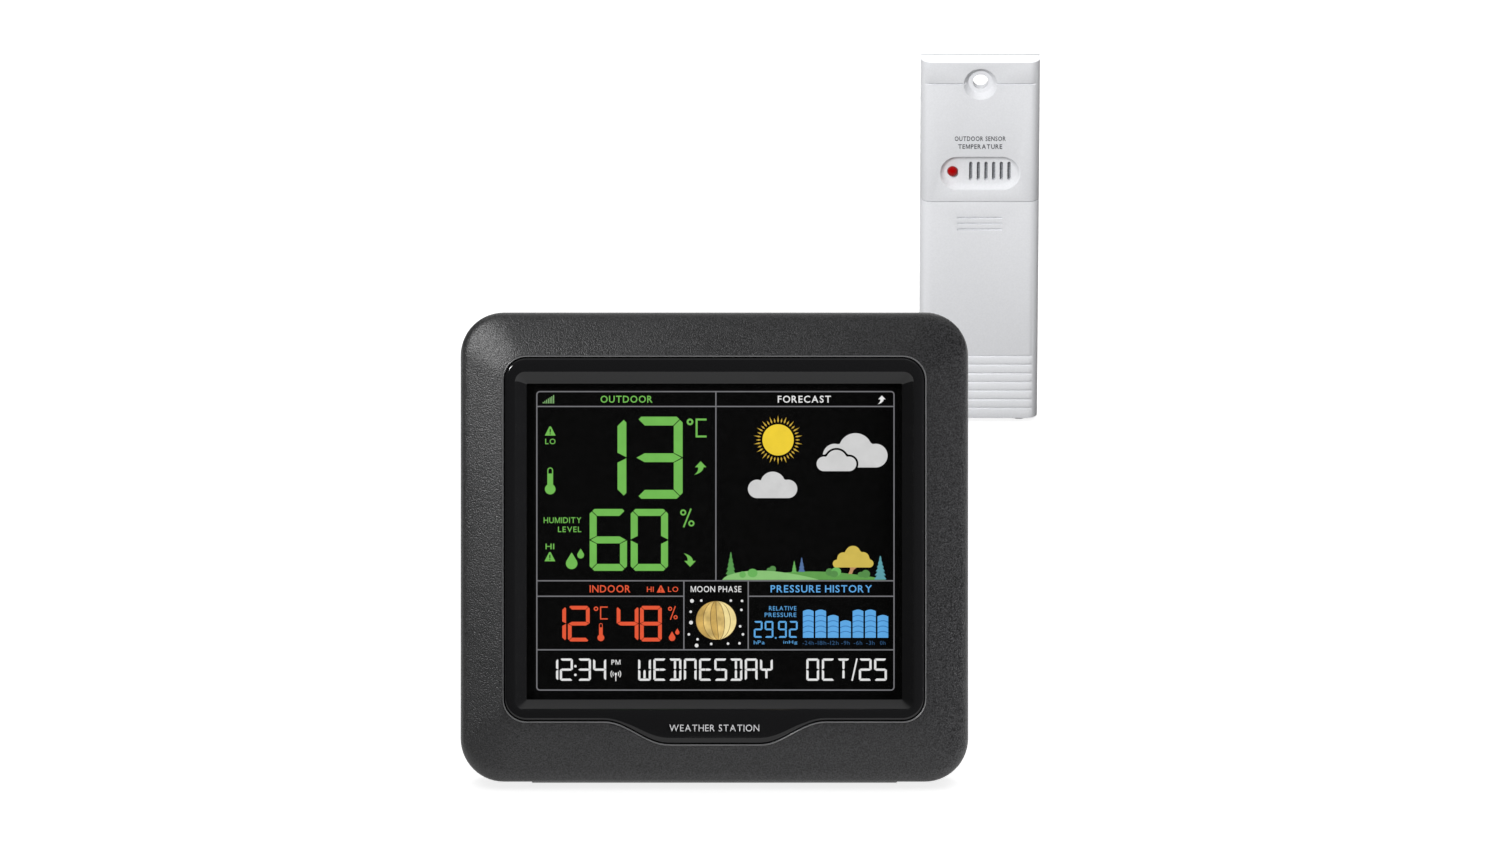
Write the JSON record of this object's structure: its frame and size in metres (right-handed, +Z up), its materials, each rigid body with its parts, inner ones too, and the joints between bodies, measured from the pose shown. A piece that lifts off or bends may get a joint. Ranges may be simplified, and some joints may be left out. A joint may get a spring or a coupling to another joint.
{
  "type": "home weather station",
  "caption": "Tabletop weather display console with a gloss-framed colour screen, kickstand and rear buttons, and its slim upright wireless outdoor sensor.",
  "frame": {"origin": "middle of the rubber strip under the console's front foot, on the table", "axes": "+Z up from the table; the display faces -Y, leaning back; +X to the right as seen from the front"},
  "size_m": [0.191, 0.2996, 0.1396],
  "materials": {
    "charcoal_shell": "fine-textured matte charcoal",
    "gloss_black": "polished piano black",
    "window_clear": "clear acrylic window",
    "display_glass": "dark negative colour display",
    "white_film": "white diffusing film",
    "clear_guide": "clear acrylic light guide",
    "white_plastic": "satin white moulding",
    "led_yellow": "phosphor-coated lamps",
    "ribbon_amber": "amber polyimide lead",
    "board_green": "green solder mask",
    "chip_black": "moulded epoxy",
    "capacitor_blue": "sleeved cans",
    "crystal_can": "drawn can",
    "cell_wrap": "printed sleeve, plain",
    "nickel": "nickel-plated spring steel",
    "screw_steel": "zinc-plated",
    "antenna_wire": "insulated wire",
    "coil_copper": "enamelled copper",
    "foot_rubber": "soft black rubber",
    "button_black": "satin black",
    "knob_grey": "satin grey",
    "pearl_shell": "light grey satin plastic",
    "gasket_grey": "soft grey foam rubber",
    "led_red": "tinted red lens"
  },
  "bodies": {
    "console": {"front_frame": "charcoal_shell", "gloss_bezel": "gloss_black", "display_window": "window_clear", "lcd_panel": "display_glass", "diffuser_film": "white_film", "light_guide": "clear_guide", "backlight_strip": "white_film", "backlight_leds": "led_yellow", "lcd_carrier": "white_plastic", "lcd_ribbon": "ribbon_amber", "main_board": "board_green", "processor_chip": "chip_black", "board_capacitors": "capacitor_blue", "clock_crystal": "crystal_can", "piezo_buzzer": "chip_black", "room_sensor": "white_plastic", "receiver_module": "board_green", "receiver_antenna": "antenna_wire", "button_board": "board_green", "button_switches": "chip_black", "power_board": "board_green", "power_jack": "chip_black", "backlight_switch_body": "crystal_can", "rear_cover": "charcoal_shell", "foot_strip": "foot_rubber", "console_batteries": "cell_wrap", "console_battery_contacts": "nickel", "console_battery_springs": "nickel", "case_screws": "screw_steel", "board_screws": "screw_steel"},
    "battery_door": {"battery_door": "charcoal_shell"},
    "stand": {"kickstand": "charcoal_shell", "stand_foot": "foot_rubber"},
    "light_key": {"light_button": "button_black"},
    "set_key": {"set_button": "button_black"},
    "plus_key": {"plus_button": "button_black"},
    "minus_key": {"minus_button": "button_black"},
    "alert_key": {"alert_button": "button_black"},
    "signal_key": {"signal_button": "button_black"},
    "backlight_slider": {"backlight_switch_knob": "knob_grey"},
    "sensor_cover": {"sensor_battery_cover": "pearl_shell"},
    "sensor_test_key": {"sensor_test_button": "button_black"},
    "sensor_case": {"sensor_front_shell": "pearl_shell", "sensor_rear_shell": "pearl_shell", "sensor_gasket": "gasket_grey", "sensor_vent_screen": "gasket_grey", "sensor_board": "board_green", "sensor_led": "led_red", "sensor_thermistor": "chip_black", "sensor_chip": "chip_black", "sensor_antenna": "coil_copper", "sensor_test_switch": "chip_black", "sensor_batteries": "cell_wrap", "sensor_battery_contacts": "nickel", "sensor_battery_springs": "nickel", "sensor_screws": "screw_steel"}
  },
  "joints": [
    {"name": "stand_fold", "type": "hinge", "parent": "console", "child": "stand", "pos_m": [0, 0.04024, 0.05799], "axis": [-1, 0, 0], "range_deg": [0, 45]},
    {"name": "door_open", "type": "hinge", "parent": "console", "child": "battery_door", "pos_m": [-0.0272, 0.05619, 0.08652], "axis": [0, 0.4226, 0.9063], "range_deg": [0, 85]},
    {"name": "light_press", "type": "slide", "parent": "console", "child": "light_key", "axis": [0, -0.9063, 0.4226], "range_m": [0, 0.0006], "stiffness_N_per_m": 1200},
    {"name": "set_press", "type": "slide", "parent": "console", "child": "set_key", "axis": [0, -0.9063, 0.4226], "range_m": [0, 0.0006], "stiffness_N_per_m": 1200},
    {"name": "plus_press", "type": "slide", "parent": "console", "child": "plus_key", "axis": [0, -0.9063, 0.4226], "range_m": [0, 0.0006], "stiffness_N_per_m": 1200},
    {"name": "minus_press", "type": "slide", "parent": "console", "child": "minus_key", "axis": [0, -0.9063, 0.4226], "range_m": [0, 0.0006], "stiffness_N_per_m": 1200},
    {"name": "alert_press", "type": "slide", "parent": "console", "child": "alert_key", "axis": [0, -0.9063, 0.4226], "range_m": [0, 0.0006], "stiffness_N_per_m": 1200},
    {"name": "signal_press", "type": "slide", "parent": "console", "child": "signal_key", "axis": [0, -0.9063, 0.4226], "range_m": [0, 0.0006], "stiffness_N_per_m": 1200},
    {"name": "backlight_slide", "type": "slide", "parent": "console", "child": "backlight_slider", "axis": [0, 0.4226, 0.9063], "range_m": [0, 0.004]},
    {"name": "sensor_lift", "type": "slide", "parent": "console", "child": "sensor_cover", "axis": [0, 0, 1], "range_m": [0, 0.1]},
    {"name": "sensor_cover_slide", "type": "slide", "parent": "sensor_cover", "child": "sensor_case", "axis": [0, 0, 1], "range_m": [0, 0.08]},
    {"name": "sensor_test_press", "type": "slide", "parent": "sensor_case", "child": "sensor_test_key", "axis": [0, 1, 0], "range_m": [0, 0.0006], "stiffness_N_per_m": 800}
  ]
}
